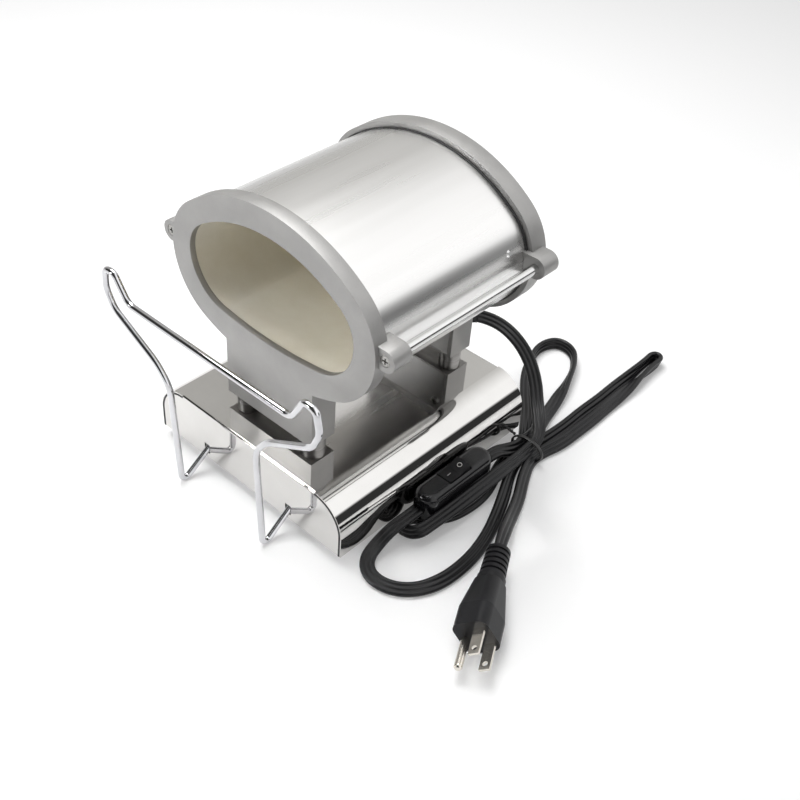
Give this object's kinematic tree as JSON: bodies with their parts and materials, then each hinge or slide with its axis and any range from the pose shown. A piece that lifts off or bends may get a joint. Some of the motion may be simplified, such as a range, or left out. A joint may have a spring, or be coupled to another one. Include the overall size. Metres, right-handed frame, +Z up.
{
  "type": "glass rod preheating oven",
  "caption": "Small tunnel oven that preheats glass rods: oval ceramic muffle in a polished drum between two cast frames on a mirror-finish base, with a wire rod rest and a corded inline switch",
  "frame": {"origin": "Centre of the oven's footprint (base and rod rest) on the plane that the rubber feet stand on.", "axes": "X across the oven, -Y toward the open mouth and rod rest, +Y toward the rear where the cord leaves, +Z up."},
  "size_m": [0.2818, 0.3316, 0.1912],
  "materials": {
    "polished_steel": "mirror-polished stainless sheet",
    "sheet_steel": "plain galvanised sheet",
    "foot_rubber": "black moulded rubber",
    "fastener_steel": "zinc-plated steel",
    "standoff_aluminium": "turned aluminium",
    "cast_aluminium": "light grey cast aluminium, satin",
    "cream_ceramic": "matte cream refractory ceramic",
    "white_ceramic": "white glazed steatite",
    "resistance_wire": "oxidised resistance wire",
    "fibre_blanket": "white ceramic fibre",
    "rod_steel": "plain drawn steel",
    "brass_contacts": "plain brass",
    "black_sleeve": "black wire insulation",
    "green_sleeve": "green wire insulation",
    "chromed_wire": "bright chromed wire",
    "cord_plastic": "black vinyl",
    "tie_plastic": "black coated twist tie",
    "switch_plastic": "glossy dark moulding",
    "rocker_plastic": "glossy black moulding",
    "nickel_contacts": "nickel-plated brass"
  },
  "bodies": {
    "oven": {"base_cover": "polished_steel", "base_plate": "sheet_steel", "bolt_washers": "fastener_steel", "coil_leads": "resistance_wire", "cord_gland": "cord_plastic", "cord_plug_hank": "cord_plastic", "cord_supply_hank": "cord_plastic", "cord_tie": "tie_plastic", "drum_shell": "polished_steel", "foot_nuts": "fastener_steel", "foot_screws": "fastener_steel", "frame_bolts": "fastener_steel", "frame_standoffs": "standoff_aluminium", "front_frame": "cast_aluminium", "ground_conductor": "green_sleeve", "ground_screw": "fastener_steel", "heating_coil": "resistance_wire", "inner_conductors": "black_sleeve", "insulation_blanket": "fibre_blanket", "muffle": "cream_ceramic", "plug_blades": "nickel_contacts", "plug_body": "cord_plastic", "plug_ground_pin": "nickel_contacts", "plug_strain_relief": "cord_plastic", "rack_clips": "sheet_steel", "rear_cover": "polished_steel", "rear_cover_screws": "fastener_steel", "rear_frame": "cast_aluminium", "rear_plug": "cream_ceramic", "rubber_feet": "foot_rubber", "shell_rivets": "fastener_steel", "switch_contacts": "brass_contacts", "switch_lower_case": "switch_plastic", "switch_screws": "fastener_steel", "switch_upper_case": "switch_plastic", "terminal_block": "white_ceramic", "terminal_cover": "sheet_steel", "terminal_cover_screws": "fastener_steel", "terminal_screws": "brass_contacts", "tie_rod_screws": "fastener_steel", "tie_rods": "rod_steel"},
    "rod_rest": {"rod_rest": "chromed_wire"},
    "switch_rocker": {"switch_rocker": "rocker_plastic"}
  },
  "joints": [
    {"name": "rod_rest_hinge", "type": "hinge", "parent": "oven", "child": "rod_rest", "pos_m": [0, -0.06399, 0.0174], "axis": [1, 0, 0], "range_deg": [-19, 0]},
    {"name": "switch_rocker_hinge", "type": "hinge", "parent": "oven", "child": "switch_rocker", "pos_m": [0.0895, 0.01801, 0.0225], "axis": [1, 0, 0], "range_deg": [-17, 0]}
  ]
}
